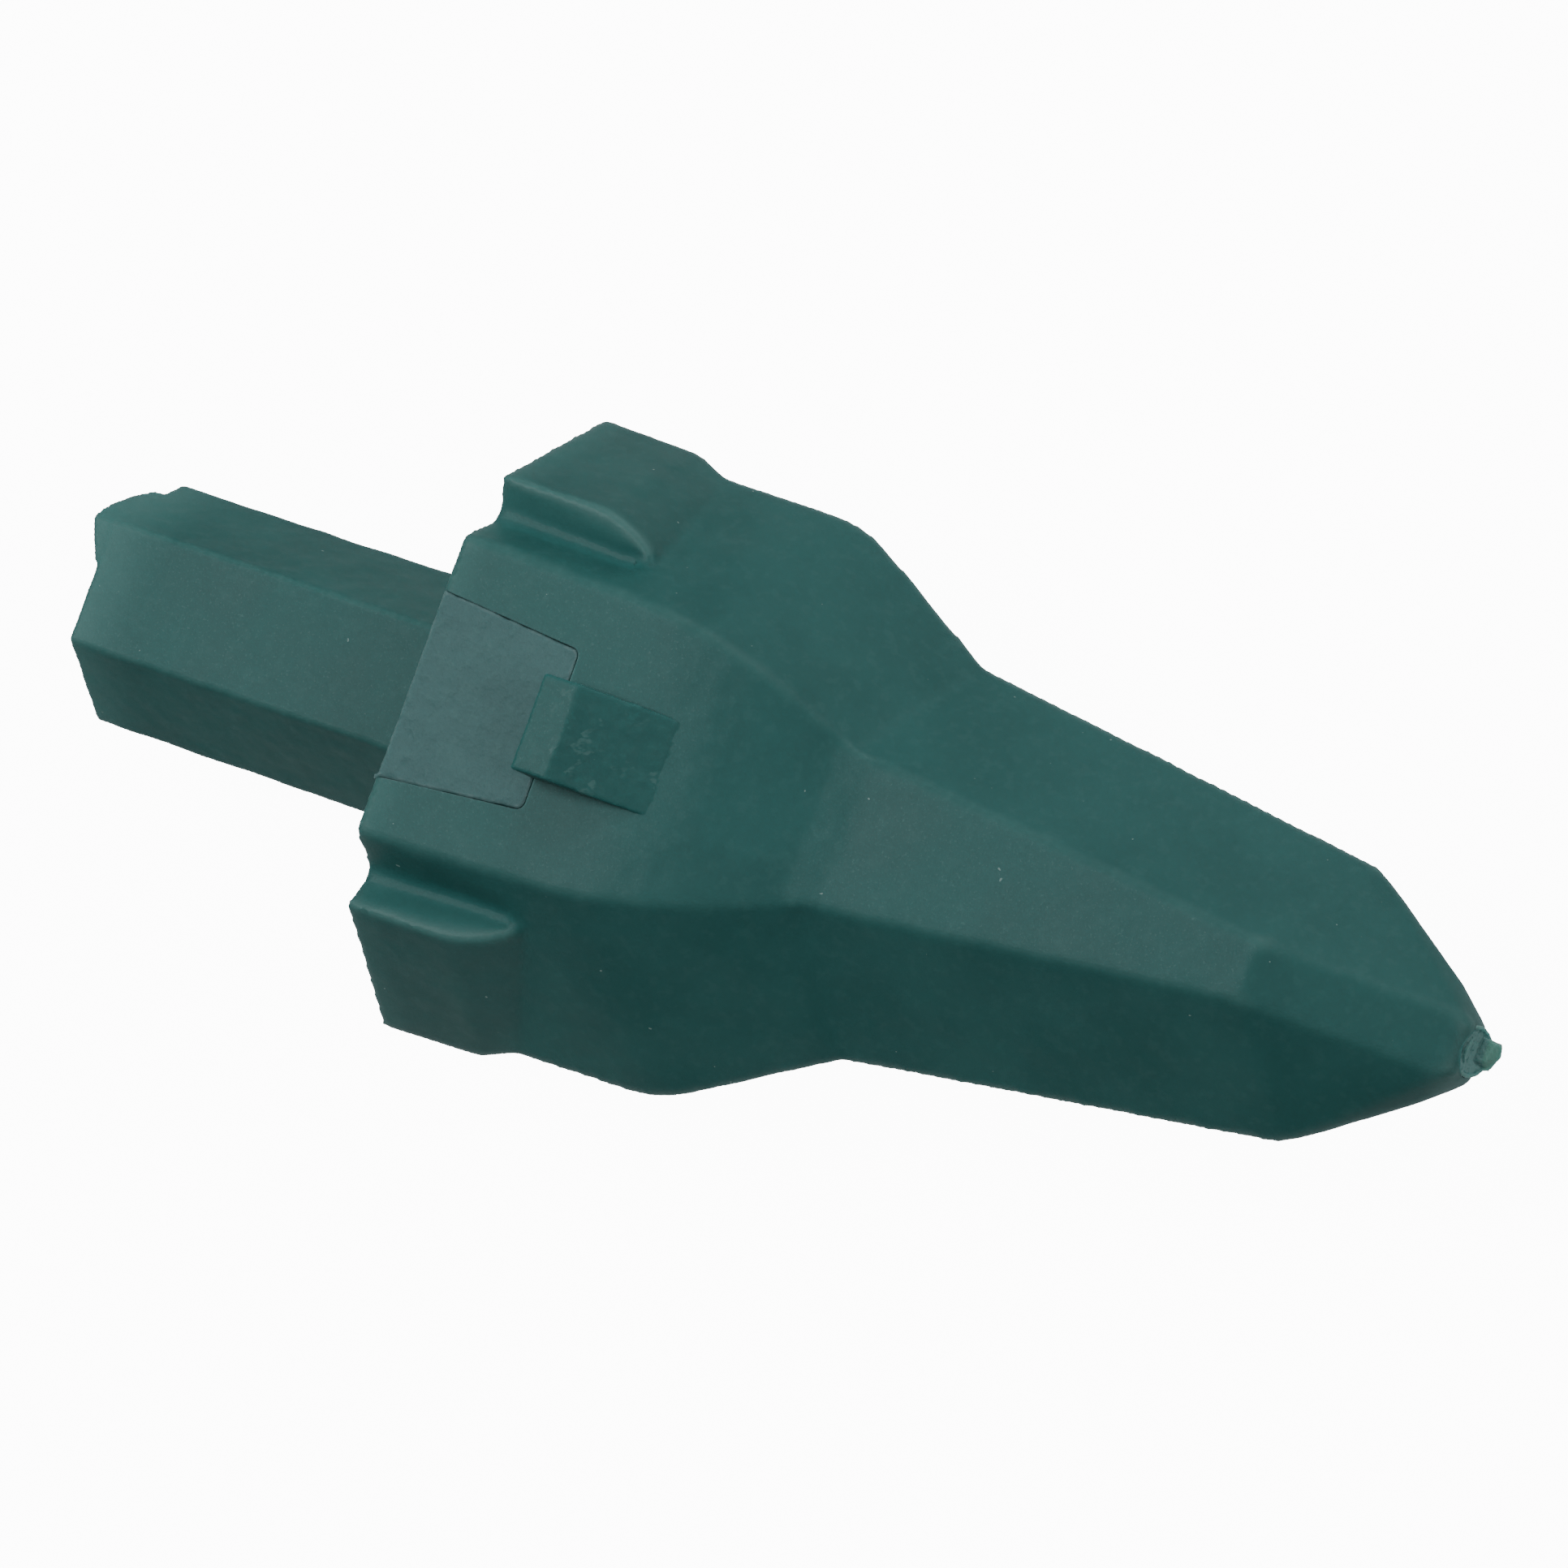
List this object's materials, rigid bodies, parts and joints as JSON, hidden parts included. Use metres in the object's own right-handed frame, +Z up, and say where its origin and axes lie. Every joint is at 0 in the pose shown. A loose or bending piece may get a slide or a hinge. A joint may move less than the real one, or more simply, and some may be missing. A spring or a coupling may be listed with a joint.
{
  "type": "excavator bucket tooth",
  "caption": "Pointed bucket tooth with side ears, held on a hexagonal shank by a quarter-turn pin under a sliding lock plate.",
  "frame": {"origin": "centre of the hexagonal shank's rear end face", "axes": "+X along the shank towards the tooth's tip, +Z up through the face that carries the lock plate, +Y towards the left ear"},
  "size_m": [0.2846, 0.1184, 0.0817],
  "materials": {
    "tooth_green": "matt, fine grain",
    "plate_green": "smooth satin, greyer than the tooth",
    "pin_steel": "turned steel",
    "spring_steel": "oiled spring steel",
    "bronze": "bearing bronze",
    "black_rubber": "moulded rubber"
  },
  "bodies": {
    "tooth": {"tooth_body": "tooth_green", "hex_shank": "tooth_green", "tip_insert": "tooth_green", "pin_bush": "bronze", "thrust_washer": "pin_steel", "plate_stop_pin": "pin_steel", "nose_cushion": "black_rubber", "mouth_seal": "black_rubber", "plate_pad_left": "black_rubber", "plate_pad_right": "black_rubber", "ear_spring_left": "spring_steel", "ear_spring_right": "spring_steel", "ear_plug_left": "tooth_green", "ear_plug_right": "tooth_green"},
    "plate": {"lock_plate": "plate_green"},
    "pin": {"lock_pin": "pin_steel", "pin_seal_ring": "black_rubber", "retaining_ring": "spring_steel", "drive_plug": "black_rubber"},
    "plunger_left": {"ear_plunger_left": "pin_steel", "plunger_seal_left": "black_rubber"},
    "plunger_right": {"ear_plunger_right": "pin_steel", "plunger_seal_right": "black_rubber"}
  },
  "joints": [
    {"name": "plate_slide", "type": "slide", "parent": "tooth", "child": "plate", "axis": [-1, 0, 0], "range_m": [0, 0.022]},
    {"name": "lock_pin_turn", "type": "hinge", "parent": "tooth", "child": "pin", "pos_m": [0.0965, 0, 0.02], "axis": [0, 0, 1], "range_deg": [0, 90]},
    {"name": "plunger_left_slide", "type": "slide", "parent": "tooth", "child": "plunger_left", "axis": [0, 0.866, -0.5], "range_m": [0, 0.0025], "stiffness_N_per_m": 6000, "springref_m": -0.003, "deforming": ["ear_spring_left"]},
    {"name": "plunger_right_slide", "type": "slide", "parent": "tooth", "child": "plunger_right", "axis": [0, -0.866, -0.5], "range_m": [0, 0.0025], "stiffness_N_per_m": 6000, "springref_m": -0.003, "deforming": ["ear_spring_right"]}
  ]
}
